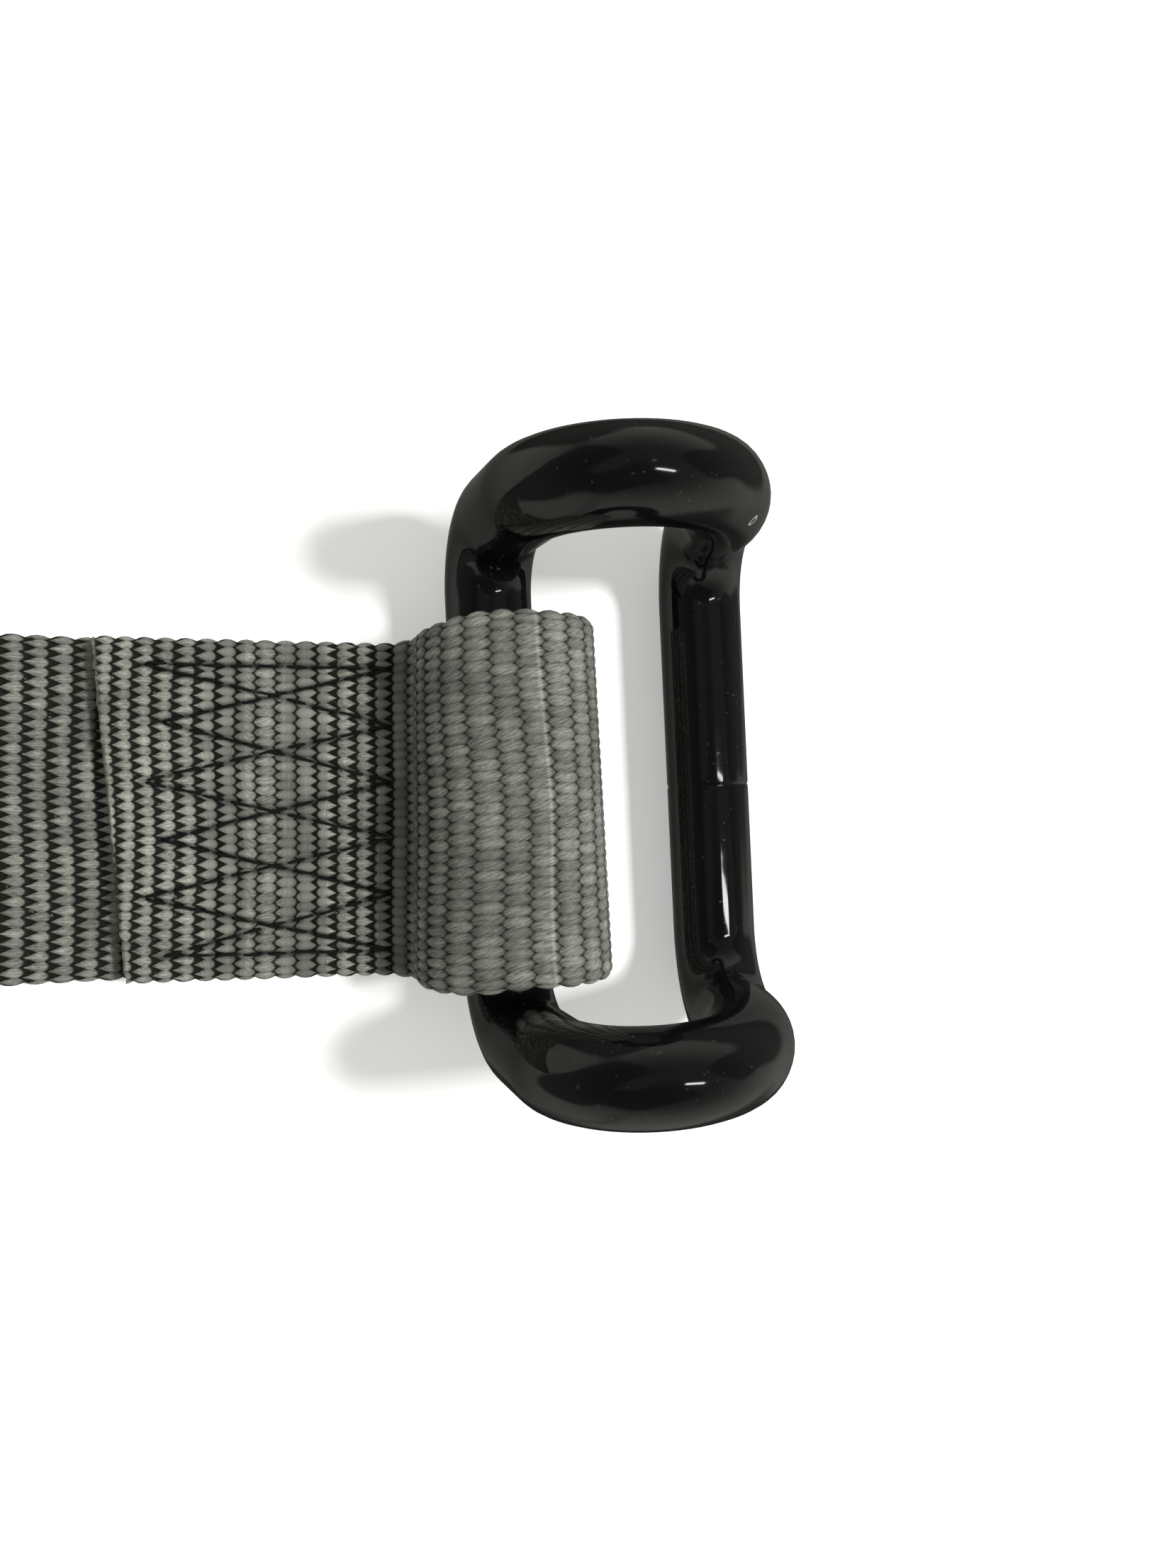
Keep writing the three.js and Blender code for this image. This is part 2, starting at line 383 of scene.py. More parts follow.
# Shares of the webbing's colour, from the darkest to the palest
TONE_SHADES = (0.8, 1.18)
FIBRE_SHADES = (0.52, 1.46)
PATCH_SHADES = (0.86, 1.10)
# Painted shade in the yarns' valleys, tight and loose, and a painted highlight on their crests
TIGHT_VALLEY_PAINTED_SHADE = 0.92
LOOSE_VALLEY_PAINTED_SHADE = 0.72
CREST_PAINTED_HIGHLIGHT = 1.18
LOOSE_SHADE = 0.7
INNER_SHADE = 0.8
# A painted sheen line along each crease, as a share of the colour
CREASE_PAINTED_SHEEN = 1.7

# A painted sheen line's half width in columns, and the step across, in yarns, from the outer
# face's weave map to the inner face's
SHEEN_CREASE_HALF_WIDTH = 0.14
INNER_FACE = 64

FLOAT = "NodeSocketFloat"
VECTOR = "NodeSocketVector"


def yarn_set(w, given, along, across, start):
    """One of the two sets of yarns: its height and a random tone for each yarn."""
    lap = w.math("ROUND", w.math("DIVIDE", w.math("SUBTRACT", along, start), 2.0))
    phase = w.math("SUBTRACT", w.math("SUBTRACT", along, start), w.math("MULTIPLY", lap, 2.0))
    shifted = w.math("SUBTRACT", across, start / 2)
    yarn = w.math("ROUND", shifted)
    off = w.math("SUBTRACT", shifted, yarn)
    width = w.ramp(given["Loose"], 0.0, 1.0, TIGHT_HALF_WIDTH, LOOSE_HALF_WIDTH)
    for sign in (1.0, -1.0):
        share = w.math("MAXIMUM", w.math("MULTIPLY", given["Lean"], sign), 0.0)
        reach = w.math("DIVIDE", w.math("MULTIPLY_ADD", phase, sign, 0.5), TAPER_LENGTH)
        taper = w.math("MINIMUM", w.math("MAXIMUM", reach, TAPER_LEAST), 1.0)
        less = w.math("SUBTRACT", w.math("POWER", taper, TAPER_CURVE), 1.0)
        width = w.math("MULTIPLY", width, w.math("MULTIPLY_ADD", share, less, 1.0))
    part = w.math("DIVIDE", off, width)
    inside = w.math("MAXIMUM", w.math("SUBTRACT", 1.0, w.product(part, part)), 0.0)
    drop = w.math("SUBTRACT", w.math("SQRT", inside), 1.0)
    steep = w.ramp(given["Loose"], 0.0, 1.0, TIGHT_STEEPNESS, LOOSE_STEEPNESS)
    turn = w.math("MINIMUM", w.math("MULTIPLY", w.math("ABSOLUTE", phase), steep), 1.0)
    wave = w.math("COSINE", w.math("MULTIPLY", turn, math.pi))
    height = w.math("MULTIPLY_ADD", drop, given["Crown"], wave)
    white = w.node("ShaderNodeTexWhiteNoise", noise_dimensions="3D")
    w.feed(white.inputs["Vector"], w.vector(lap, yarn, start))
    return height, white.outputs["Value"]


def weave_group(strap):
    """Yarns that rise and dive column by column: their height, painted gap shade, tones and
    fibres.
    Lean is 1 where a yarn is pointed at its low end, -1 at its high end, and 0 at neither."""
    tree, w, given, out = new_group(
        "Yarn weave",
        [("Weave", VECTOR, None), ("Lean", FLOAT, 0.0), ("Loose", FLOAT, 0.0),
         ("Crown", FLOAT, strap.crown / strap.lift)],
        [("Height", FLOAT), ("Gap", FLOAT), ("Tone", FLOAT), ("Fibre", FLOAT)],
    )
    along, across = w.parts(given["Weave"])[0:2]
    (even, even_tone), (odd, odd_tone) = (
        yarn_set(w, given, along, across, start) for start in (0.0, 1.0))
    height = w.math("MAXIMUM", w.math("MAXIMUM", even, odd), GAP_FLOOR)
    slant = w.product(along, w.product(given["Loose"], FIBRE_SLANT))
    strand = w.vector(
        w.product(along, FIBRES_ALONG), w.math("MULTIPLY_ADD", across, FIBRES_ACROSS, slant))
    level = w.math("MULTIPLY_ADD", given["Loose"], LOOSE_LOWER, height)
    w.feed(out["Height"], height)
    # Gap: the share of painted shade, darkest where the yarns dive lowest
    w.feed(out["Gap"], w.ramp(level, GAP_SHADE_DARKEST, 0.0, 1.0, 0.0))
    w.feed(out["Tone"], w.mix_numbers(w.math("GREATER_THAN", odd, even), even_tone, odd_tone))
    w.feed(out["Fibre"], w.noise(strand, 1.0, 3.0, 0.8))
    return tree


def dust_group():
    """Small pale specks and slow patches, made once and used by two materials."""
    made = bpy.data.node_groups.get("Dust and wear")
    if made:
        return made
    tree, w, given, out = new_group(
        "Dust and wear",
        [("Place", VECTOR, None), ("Speck Scale", FLOAT, 900.0), ("Patch Scale", FLOAT, 40.0)],
        [("Speck", FLOAT), ("Patch", FLOAT)],
    )
    specks = w.noise(given["Place"], given["Speck Scale"], 1.0)
    w.feed(out["Speck"], w.ramp(specks, 0.70, 0.78))
    w.feed(out["Patch"], w.noise(given["Place"], given["Patch Scale"], 3.0))
    return tree


def new_material(name):
    material = bpy.data.materials.new(name)
    material.use_nodes = True
    wiring = Wiring(material.node_tree)
    return material, wiring, material.node_tree.nodes["Principled BSDF"].inputs


def bump(w, height, distance, strength, normal=None):
    made = w.node("ShaderNodeBump")
    made.inputs["Distance"].default_value = distance
    made.inputs["Strength"].default_value = strength
    w.feed(made.inputs["Height"], height)
    if normal is not None:
        w.feed(made.inputs["Normal"], normal)
    return made.outputs["Normal"]


WEBBING_DUST = (0.32, 0.32, 0.28)
HOOK_DUST = (0.10, 0.10, 0.09)
# A pale ring painted on the pit's rim as a highlight
PIT_RIM_HIGHLIGHT_COLOUR = (0.4, 0.4, 0.37)
PIT = (28.2 * MM, 36.3 * MM, 34.4 * MM)
PIT_RADIUS = 0.62 * MM
TWISTS_A_STITCH = 5.0


def webbing_material(strap, weave, dust, sheen_creases):
    """Yarns with painted shade in their gaps, along the seam and in their valleys, painted
    highlights on their crests, dust, a sealed cut end, and painted sheen lines at the given crease
    columns.
    """
    material, w, shader = new_material("Woven polyester")
    pattern = w.node("ShaderNodeUVMap", uv_map=WEAVE_MAP).outputs[0]
    place = w.node("ShaderNodeTexCoord").outputs["Object"]
    loose = w.attribute("loose")
    yarns = w.group(weave, Weave=pattern, Lean=w.attribute("lean"), Loose=loose)
    wear = w.group(dust, Place=place, Speck_Scale=1500.0, Patch_Scale=55.0)

    along, across = w.parts(pattern)[0:2]
    # Painted shade where a yarn dives and a painted highlight on its crest
    valley_painted_shade = w.ramp(loose, 0.0, 1.0, TIGHT_VALLEY_PAINTED_SHADE, LOOSE_VALLEY_PAINTED_SHADE)
    light = w.product(
        w.ramp(yarns["Tone"], 0.0, 1.0, *TONE_SHADES),
        w.ramp(yarns["Fibre"], 0.32, 0.68, *FIBRE_SHADES),
        w.ramp(wear["Patch"], 0.35, 0.65, *PATCH_SHADES),
        w.ramp(loose, 0.0, 1.0, 1.0, LOOSE_SHADE),
        w.ramp(yarns["Height"], 0.0, 1.0, valley_painted_shade, CREST_PAINTED_HIGHLIGHT),
        w.ramp(across, INNER_FACE / 2 - 2, INNER_FACE / 2 + 2, 1.0, INNER_SHADE),
    )
    # Painted sheen: a bright line down each crease column
    for column in sheen_creases:
        away = w.math("ABSOLUTE", w.math("SUBTRACT", along, column))
        light = w.product(light, w.ramp(away, 0.0, SHEEN_CREASE_HALF_WIDTH, CREASE_PAINTED_SHEEN, 1.0))
    lit = w.node("ShaderNodeVectorMath", operation="SCALE")
    lit.inputs[0].default_value = strap.colour
    w.feed(lit.inputs["Scale"], light)
    # Painted shade along the seam's threads, weaker on yarn tops that cover the thread
    seam_shade_kept = w.ramp(yarns["Height"], 0.3, 0.95, 1.0, 0.65)
    gap = w.math("MAXIMUM", yarns["Gap"], w.product(w.attribute("stitched"), seam_shade_kept))
    # Painted shade: the gaps and the seam are mixed towards the near-black gap colour
    body = w.mix(w.product(gap, 0.98), lit.outputs[0], strap.gap_shade_colour)
    body = w.mix(w.product(wear["Speck"], 0.35), body, WEBBING_DUST)
    w.feed(shader["Base Color"], w.mix(w.attribute("sealed"), body, strap.cut_colour))
    w.feed(shader["Roughness"], w.ramp(yarns["Fibre"], 0.2, 0.8, 0.5, 0.78))
    shader["Specular IOR Level"].default_value = 0.35
    normal = bump(w, yarns["Height"], strap.lift, 0.6)
    w.feed(shader["Normal"], bump(w, yarns["Fibre"], 0.2 * MM, 0.8, normal))
    return material


def thread_material(thread):
    """Strands laid up with a few twists to a stitch."""
    material, w, shader = new_material("Bonded thread")
    twist = w.node("ShaderNodeUVMap", uv_map=WEAVE_MAP).outputs[0]
    along, around = w.parts(twist)[0:2]
    turn = w.math("MULTIPLY_ADD", along, TWISTS_A_STITCH, around)
    strand = w.math("ABSOLUTE", w.math("SINE", w.product(turn, math.tau)))
    w.feed(shader["Base Color"], w.mix(strand, (0.003, 0.003, 0.003), thread.colour))
    w.feed(shader["Roughness"], w.ramp(strand, 0.0, 1.0, 0.7, 0.5))
    w.feed(shader["Normal"], bump(w, strand, 0.1 * MM, 0.6))
    return material


def coating_material(hook, dust):
    """Glossy black with slow waves, dust, and one pit whose rim carries a painted highlight."""
    material, w, shader = new_material("Dipped gloss coating")
    place = w.node("ShaderNodeTexCoord").outputs["Object"]
    wear = w.group(dust, Place=place, Speck_Scale=1400.0, Patch_Scale=70.0)
    away = w.node("ShaderNodeVectorMath", operation="DISTANCE")
    w.feed(away.inputs[0], place)
    away.inputs[1].default_value = PIT
    rim = w.math("ABSOLUTE", w.math("SUBTRACT", away.outputs["Value"], PIT_RADIUS))
    # Painted highlight: a pale ring round the pit's rim, also raised as a bump
    ring = w.ramp(rim, 0.05 * MM, 0.3 * MM, 1.0, 0.0)
    dusty = w.mix(w.product(wear["Speck"], 0.2), hook.colour, HOOK_DUST)
    w.feed(shader["Base Color"], w.mix(w.product(ring, 0.8), dusty, PIT_RIM_HIGHLIGHT_COLOUR))
    rough = w.ramp(wear["Patch"], 0.35, 0.75, 0.045, 0.10)
    w.feed(shader["Roughness"], w.math("MULTIPLY_ADD", wear["Speck"], 0.25, rough))
    shader["IOR"].default_value = 1.5
    waves = w.math("MULTIPLY_ADD", ring, 0.35, w.noise(place, 95.0, 2.0, 0.4))
    w.feed(shader["Normal"], bump(w, waves, 0.5 * MM, 0.25))
    return material


# Webbing

# The creases painted as sheen lines: one from the free end, one from the eye's foremost line
TAIL_SHEEN_CREASE = 436.5 * MM
EYE_SHEEN_CREASE = -1.2 * MM

# Behind the bar, the distance from which the seam draws the edges in and over how much, then
# the distance from which it lets them out again and over how much
SEAM_PULL_START = 3 * MM
SEAM_RISE = 14 * MM
SEAM_PULL_END = 46 * MM
SEAM_PULL_FALL = 60 * MM

# How much a column's length varies, and how far rows and yarns stray from their places
COLUMN_VARIES = 0.06
ROW_STRAYS = 0.28 * MM
YARN_STRAYS = 0.14 * MM

# Hollows: between the yarns at an edge, under a thread, and round the seam
EDGE_HOLLOW = 0.42 * MM
THREAD_HOLLOW = 0.5 * MM
THREAD_REACH = 0.38 * MM
SEAM_HOLLOW = 0.22 * MM
SEAM_REACH = 1.7 * MM

# Which way the yarns are pointed on the back of the eye, in the flap's middle and at its end,
# as lean_at says it, and how loose they are in its middle
BACK_LEAN = -0.5
MIDDLE_LEAN = -0.35
END_LEAN = -0.65
MIDDLE_LOOSE = 0.45

# Samples a yarn, and the step between rows in columns
FINE, MEDIUM, COARSE = 6, 4, 2
ROW_STEP = 0.25

# The cut end and the free end are thinned over these distances, down to these shares
CUT_ROUND = 1.1 * MM
CUT_RING = 0.45 * MM
CUT_THINNEST = 0.55
END_ROUND = 0.9 * MM
END_RING = 0.35 * MM
END_THINNEST = 0.6
CUT_ROUGHNESS = 0.12 * MM


class SidePath:
    """The webbing's middle in the side view: straights and bends, by distance from the end."""

    def __init__(self, x, z):
        self.pieces = []
        self.end = (0.0, x, z, 0.0)

    def add(self, length, curve):
        start, x, z, heading = self.end
        self.pieces.append((start, x, z, heading, curve))
        if curve:
            turned = heading + curve * length
            x += (math.sin(turned) - math.sin(heading)) / curve
            z -= (math.cos(turned) - math.cos(heading)) / curve
        else:
            turned = heading
            x += length * math.cos(heading)
            z += length * math.sin(heading)
        self.end = (start + length, x, z, turned)

    def straight(self, length):
        self.add(length, 0.0)

    def bend(self, radius, turn):
        self.add(radius * abs(turn), math.copysign(1 / radius, turn))

    def at(self, distance):
        """Places and headings at an array of distances."""
        x, z, heading = (np.zeros_like(distance) for _ in range(3))
        for start, x0, z0, heading0, curve in self.pieces:
            here = distance >= start if start else np.ones_like(distance, dtype=bool)
            reach = distance[here] - start
            turned = heading0 + curve * reach
            if curve:
                x[here] = x0 + (np.sin(turned) - math.sin(heading0)) / curve
                z[here] = z0 - (np.cos(turned) - math.cos(heading0)) / curve
            else:
                x[here] = x0 + reach * math.cos(heading0)
                z[here] = z0 + reach * math.sin(heading0)
            heading[here] = turned
        return x, z, heading


class Webbing:
    """The places of the webbing's points."""

    def __init__(self, strap, thread):
        self.strap = strap
        self.half = strap.width / 2
        self.round = strap.thickness / 2
        self.flap_middle = 1.5 * strap.thickness + strap.layer_gap
        bend = (strap.eye_height - strap.thickness) / 2
        drop = strap.eye_height / 2 - self.flap_middle - strap.foot_radius
        back_turn = math.pi / 2 + math.asin(drop / (bend + strap.foot_radius))
        self.path = SidePath(-strap.length, strap.thickness / 2)
        self.path.straight(strap.length + strap.eye_slack)
        self.eye_start = self.path.end[0]
        self.path.bend(bend, math.pi)
        self.path.straight(strap.eye_slack + strap.eye_back)
        self.path.bend(bend, back_turn)
        self.path.bend(strap.foot_radius, -back_turn)
        self.foot_end = self.path.end[0]
        foot_x = self.path.end[1]
        self.cut_at = self.foot_end + strap.flap_length + foot_x
        self.path.straight(self.cut_at - self.foot_end + 4 * strap.thickness)
        self.total = self.path.end[0]
        self.share_start = -thread.start
        self.runs = seam_runs(strap, thread)
        self.wander = Drift(3, 26 * MM)
        self.sway = Drift(8, 17 * MM)
        self.build_columns()

    def build_columns(self):
        """Column number by distance along the webbing."""
        strap = self.strap
        steps = np.linspace(0, self.total, 6000)
        sewn = past(steps, self.foot_end, -4, 2)
        under = past(steps, self.eye_start, -60, -45) * (1 - past(steps, self.eye_start, -22, -12))
        cut = past(steps, self.cut_at, -12, -6)
        pitch = strap.column + (strap.sewn_column - strap.column) * np.maximum(sewn, under)
        pitch += (strap.cut_column - strap.sewn_column) * cut
        pitch *= 1 + COLUMN_VARIES * Drift(21, 22 * MM).at(steps, 0 * steps)
        count = np.concatenate([[0], np.cumsum(np.diff(steps) / pitch[1:])])
        self.steps, self.count = steps, count

    def column_at(self, distance):
        return float(np.interp(distance, self.steps, self.count))

    def distance_at(self, column):
        return float(np.interp(column, self.count, self.steps))

    def pull_at(self, x):
        rise = smoothstep(-x, SEAM_PULL_START, SEAM_PULL_START + SEAM_RISE)
        fall = smoothstep(-x, SEAM_PULL_END, SEAM_PULL_END + SEAM_PULL_FALL)
        return self.strap.edge_pull * (rise - fall)

    def lean_at(self, distance, side):
        """Which end of a yarn is pointed: 1 the one nearer the free end, -1 the other."""
        if side > 0:
            return 1.0
        back = past(distance, self.eye_start, 38, 44)
        foot = past(distance, self.foot_end, -5, -1)
        middle = past(distance, self.foot_end, 8, 13)
        end = past(distance, self.cut_at, -19, -12)
        flap = foot * (1 - middle) + MIDDLE_LEAN * middle + END_LEAN * end
        return float(flap + BACK_LEAN * back * (1 - foot))

    def loose_at(self, distance):
        """1 where the yarns are full and close, as on the eye, and 0 where they are tight."""
        eye = past(distance, self.eye_start, -10, 4) * (1 - past(distance, self.foot_end, -6, 1))
        middle = past(distance, self.foot_end, 8, 14) * (1 - past(distance, self.cut_at, -18, -12))
        return float(max(eye, MIDDLE_LOOSE * middle))

    def relief(self, column, across, lean, loose):
        """Height of the weave's surface, 0 on top of a yarn and less elsewhere."""
        strap = self.strap
        tops = []
        blend = float(smoothstep(loose, 0, 1))
        full = TIGHT_HALF_WIDTH + (LOOSE_HALF_WIDTH - TIGHT_HALF_WIDTH) * blend
        steep = TIGHT_STEEPNESS + (LOOSE_STEEPNESS - TIGHT_STEEPNESS) * blend
        for start in (0.0, 1.0):
            phase = column - start - 2 * round((column - start) / 2)
            off = across - start / 2 - np.round(across - start / 2)
            width = full
            for sign in (1, -1):
                taper = min(max((sign * phase + 0.5) / TAPER_LENGTH, TAPER_LEAST), 1.0)
                width *= 1 + max(sign * lean, 0) * (taper ** TAPER_CURVE - 1)
            arch = np.sqrt(np.maximum(1 - (off / width) ** 2, 0)) - 1
            wave = math.cos(math.pi * min(abs(phase) * steep, 1))
            tops.append(strap.lift * wave + strap.crown * arch)
        height = np.maximum(np.maximum(tops[0], tops[1]), GAP_FLOOR * strap.lift)
        return height - strap.lift

    def stitched(self, x, y, reach):
        """How near a point is to the seam, from 0 to 1."""
        near = np.full_like(x, 1e9)
        for (ax, ay), (bx, by) in self.runs:
            dx, dy = bx - ax, by - ay
            share = np.clip(((x - ax) * dx + (y - ay) * dy) / (dx * dx + dy * dy), 0, 1)
            near = np.minimum(near, np.hypot(x - ax - share * dx, y - ay - share * dy))
        return np.exp(-((near / reach) ** 2))

    def row(self, distance, column, across, side):
        """Points across one face, and how near each is to the seam. side is -1 on the outside
        of the fold and 1 on the inside."""
        strap = self.strap
        edge = np.abs(across) / strap.yarns
        even_place = across * strap.width / (2 * strap.yarns)
        along = distance + ROW_STRAYS * self.wander.at(distance, even_place)
        along = np.clip(along, 0, self.total)
        x, z, heading = self.path.at(along)
        half = self.half - self.pull_at(x)
        flat = half - self.round
        reach = edge * (flat + self.round * math.pi / 2)
        angle = np.clip((reach - flat) / self.round, 0, math.pi / 2)
        lateral = np.sign(across) * (np.minimum(reach, flat) + self.round * np.sin(angle))
        lateral += YARN_STRAYS * self.sway.at(distance, lateral) * (1 - edge ** 6)
        share = smoothstep(x, self.share_start, strap.eye_slack)
        y = lateral + strap.eye_shift * share
        rim = smoothstep(angle, 0.2, 1.3)
        bundle = -EDGE_HOLLOW * (1 - np.abs(np.cos(math.pi * column)) ** 0.8)
        weave = self.relief(
            column, across, self.lean_at(distance, side), self.loose_at(distance))
        height = (1 - rim) * weave + rim * bundle
        seam = np.zeros_like(x)
        if side < 0:
            in_seam = x < self.share_start + 3 * MM
            seam = np.where(in_seam, self.stitched(x, y, THREAD_REACH), 0)
            around = np.where(in_seam, self.stitched(x, y, SEAM_REACH), 0)
            height -= (THREAD_HOLLOW * seam + SEAM_HOLLOW * around) * (1 - rim)
        out = side * (self.round * np.cos(angle) + height * np.cos(angle))
        y = y + np.sign(across) * height * np.sin(angle)
        x = x - out * np.sin(heading)
        z = z + out * np.cos(heading)
        x = x - y * math.tan(strap.eye_skew) * smoothstep(x, self.share_start, strap.eye_slack)
        return np.column_stack([x, y, z]), seam

    def rows(self):
        """(distance, column, outer samples a yarn, inner samples a yarn) for each row."""
        near_tail = self.eye_start - 80 * MM
        under_flap = self.eye_start - 54 * MM
        ends = (0.0, END_RING, END_ROUND)
        rows = [(d, self.column_at(d), COARSE, COARSE) for d in ends]
        last = self.column_at(self.total - 1 * MM)
        column = 1.0
        while column < last:
            distance = self.distance_at(column)
            if distance < near_tail:
                rows.append((distance, column, COARSE, COARSE))
                column = math.floor(column) + 1.0
                continue
            if distance < under_flap:
                rows.append((distance, column, COARSE, FINE))
            elif distance < self.eye_start - 2 * MM:
                rows.append((distance, column, MEDIUM, COARSE))
            else:
                rows.append((distance, column, FINE, COARSE))
            column += ROW_STEP
        return rows


def seam_runs(strap, thread):
    """The straight runs of thread in plan: two crossing zigzags, closed along both edges."""
    half = strap.width / 2 - strap.edge_pull - thread.margin
    far = strap.flap_length - thread.end_margin
    near_points, far_points = [], []
    for i in range(thread.rows + 1):
        y = half - 2 * half * i / thread.rows
        near_points.append((-thread.start, y))
        far_points.append((-far + (thread.stagger if i % 2 else 0), y))
    runs = [(near_points[0], far_points[0]), (near_points[-1], far_points[-1])]
    for i in range(thread.rows):
        runs.append((near_points[i], far_points[i + 1]))
        runs.append((far_points[i], near_points[i + 1]))
    return runs


def zip_rows(lower, upper):
    """Faces between two rows of (place across, point number), which may differ in count."""
    faces = []
    i = j = 0
    while i < len(lower) - 1 or j < len(upper) - 1:
        can_i = i < len(lower) - 1
        can_j = j < len(upper) - 1
        a, b = lower[i], upper[j]
        if can_i and can_j and abs(lower[i + 1][0] - upper[j + 1][0]) < 1e-6:
            corners = (a, lower[i + 1], upper[j + 1], b)
            i, j = i + 1, j + 1
        elif can_i and (not can_j or lower[i + 1][0] < upper[j + 1][0]):
            corners = (a, lower[i + 1], b)
            i += 1
        else:
            corners = (a, upper[j + 1], b)
            j += 1
        faces.append(corners)
    return faces


def join_rows(lower, upper, faces, uv):
    """Adds the faces between two rows on both sides, with their places on the weave map. A row
    is its outer points, its inner points and its column."""
    for side in (0, 1):
        lows = {c[1] for c in lower[side]}
        for corners in zip_rows(lower[side], upper[side]):
            if side:
                corners = corners[::-1]
            faces.append(tuple(c[1] for c in corners))
            uv.append([
                ((lower if c[1] in lows else upper)[2], c[0] + INNER_FACE * side)
                for c in corners
            ])


def build_webbing(strap, thread):
    """Builds the webbing row by row and closes both ends."""
    plan = Webbing(strap, thread)
    points, faces, uv = [], [], []
    values = {"stitched": [], "along": [], "lean": [], "loose": []}
    first = previous = None
    size = 0
    for distance, column, outer_count, inner_count in plan.rows():
        sides = []
        for side, count in ((-1, outer_count), (1, inner_count)):
            across = np.linspace(-strap.yarns, strap.yarns, 2 * strap.yarns * count + 1)
            places, seam = plan.row(distance, column, across, side)
            if side > 0:
                places, seam, across = places[1:-1], seam[1:-1], across[1:-1]
            points.append(places)
            for name, given in (
                ("stitched", seam), ("along", distance),
                ("lean", plan.lean_at(distance, side)), ("loose", plan.loose_at(distance)),
            ):
                values[name].append(np.full(len(across), given))
            sides.append([(v, size + k) for k, v in enumerate(across)])
            size += len(across)
        outer, inner = sides
        row = (outer, [outer[0], *inner, outer[-1]], column)
        if previous:
            join_rows(previous, row, faces, uv)
        first = first or row
        previous = row
    for (outer, inner, column), turn in ((first, 1), (previous, -1)):
        loop = [*outer, *inner[-2:0:-1]][::turn]
        faces.append(tuple(c[1] for c in loop))
        uv.append([(column, c[0]) for c in loop])
    piece = object_of("webbing", np.vstack(points), faces)
    mesh = piece.data
    layer = mesh.uv_layers.new(name=WEAVE_MAP)
    layer.data.foreach_set("uv", np.array([p for face in uv for p in face]).ravel())
    for name, parts in values.items():
        add_point_values(mesh, name, np.concatenate(parts))
    return piece, plan


def thin_end(points, near, depth, reach, thinnest, middle):
    """Thins one end towards the given height, over a reach from the end."""
    share = np.clip(depth / reach, 0, 1)
    thinner = thinnest + (1 - thinnest) * np.sqrt(1 - (1 - share) ** 2)
    points[near, 2] = middle + (points[near, 2] - middle) * thinner[near]


def cut_flap(piece, plan, strap):
    """Cuts the flap's end off out of square, with two more rings of points just inside it."""
    mesh = piece.data
    slope = Vector((math.cos(strap.flap_skew), math.sin(strap.flap_skew), 0))
    end = Vector((-strap.flap_length, 0, plan.flap_middle))
    flap_start = plan.foot_end + 12 * MM
    for inside in (CUT_ROUND, CUT_RING, 0.0):
        select_points(piece, point_values(mesh, "along") > flap_start)
        bpy.ops.mesh.bisect(
            plane_co=end + slope * inside, plane_no=slope, threshold=1e-6,
            use_fill=inside == 0.0, clear_inner=inside == 0.0,
        )
        bpy.ops.object.mode_set(mode="OBJECT")
    points = coordinates(mesh)
    along = point_values(mesh, "along")
    depth = (points - np.array(end)) @ np.array(slope)
    flap = along > flap_start
    start = along < END_ROUND + 0.05 * MM
    rough = Drift(31, 2.4 * MM).at(points[:, 1], 0 * points[:, 1])
    thin_end(points, flap, depth, CUT_ROUND, CUT_THINNEST, plan.flap_middle)
    thin_end(points, start, along, END_ROUND, END_THINNEST, strap.thickness / 2)
    points[:, 0] += np.where(flap & (depth < 0.2 * MM), CUT_ROUGHNESS * rough, 0)
    set_coordinates(mesh, points)
    fade = 0.2 + 0.8 * smoothstep(points[:, 1] + 5 * MM * rough, -10 * MM, 6 * MM)
    sealed = np.where(flap, fade * (1 - smoothstep(depth, 0.1 * MM, 0.5 * MM)), 0)
    sealed = np.maximum(sealed, np.where(start, 1 - smoothstep(along, 0.3 * MM, END_ROUND), 0))
    add_point_values(mesh, "sealed", sealed)


class STRAP_OT_webbing(bpy.types.Operator):
    """Make the woven strap with its folded eye and the cut end of its flap"""

    bl_idname = "strap.webbing"
    bl_label = "Webbing"

    def execute(self, context):
        strap, thread = context.scene.strap, context.scene.thread
        piece, plan = build_webbing(strap, thread)
        cut_flap(piece, plan, strap)
        select_only(piece)
        bpy.ops.object.shade_smooth()
        front = plan.eye_start + math.pi * (strap.eye_height - strap.thickness) / 2
        sheen_creases = [plan.column_at(TAIL_SHEEN_CREASE), plan.column_at(front + EYE_SHEEN_CREASE)]
        piece.data.materials.append(
            webbing_material(strap, weave_group(strap), dust_group(), sheen_creases))
        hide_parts("webbing_strap")
        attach(piece, "strap")
        return {"FINISHED"}


# Thread

# A stitch's ends drop and narrow by these, and a stitch strays from its straight run by these:
# sideways, in its heading in radians, and in height
STITCH_DROP = 1.1 * MM
STITCH_NARROWS = 0.18
STITCH_ASIDE = 0.12 * MM
STITCH_SWAY = 0.05
STITCH_UNEVEN = 0.06 * MM


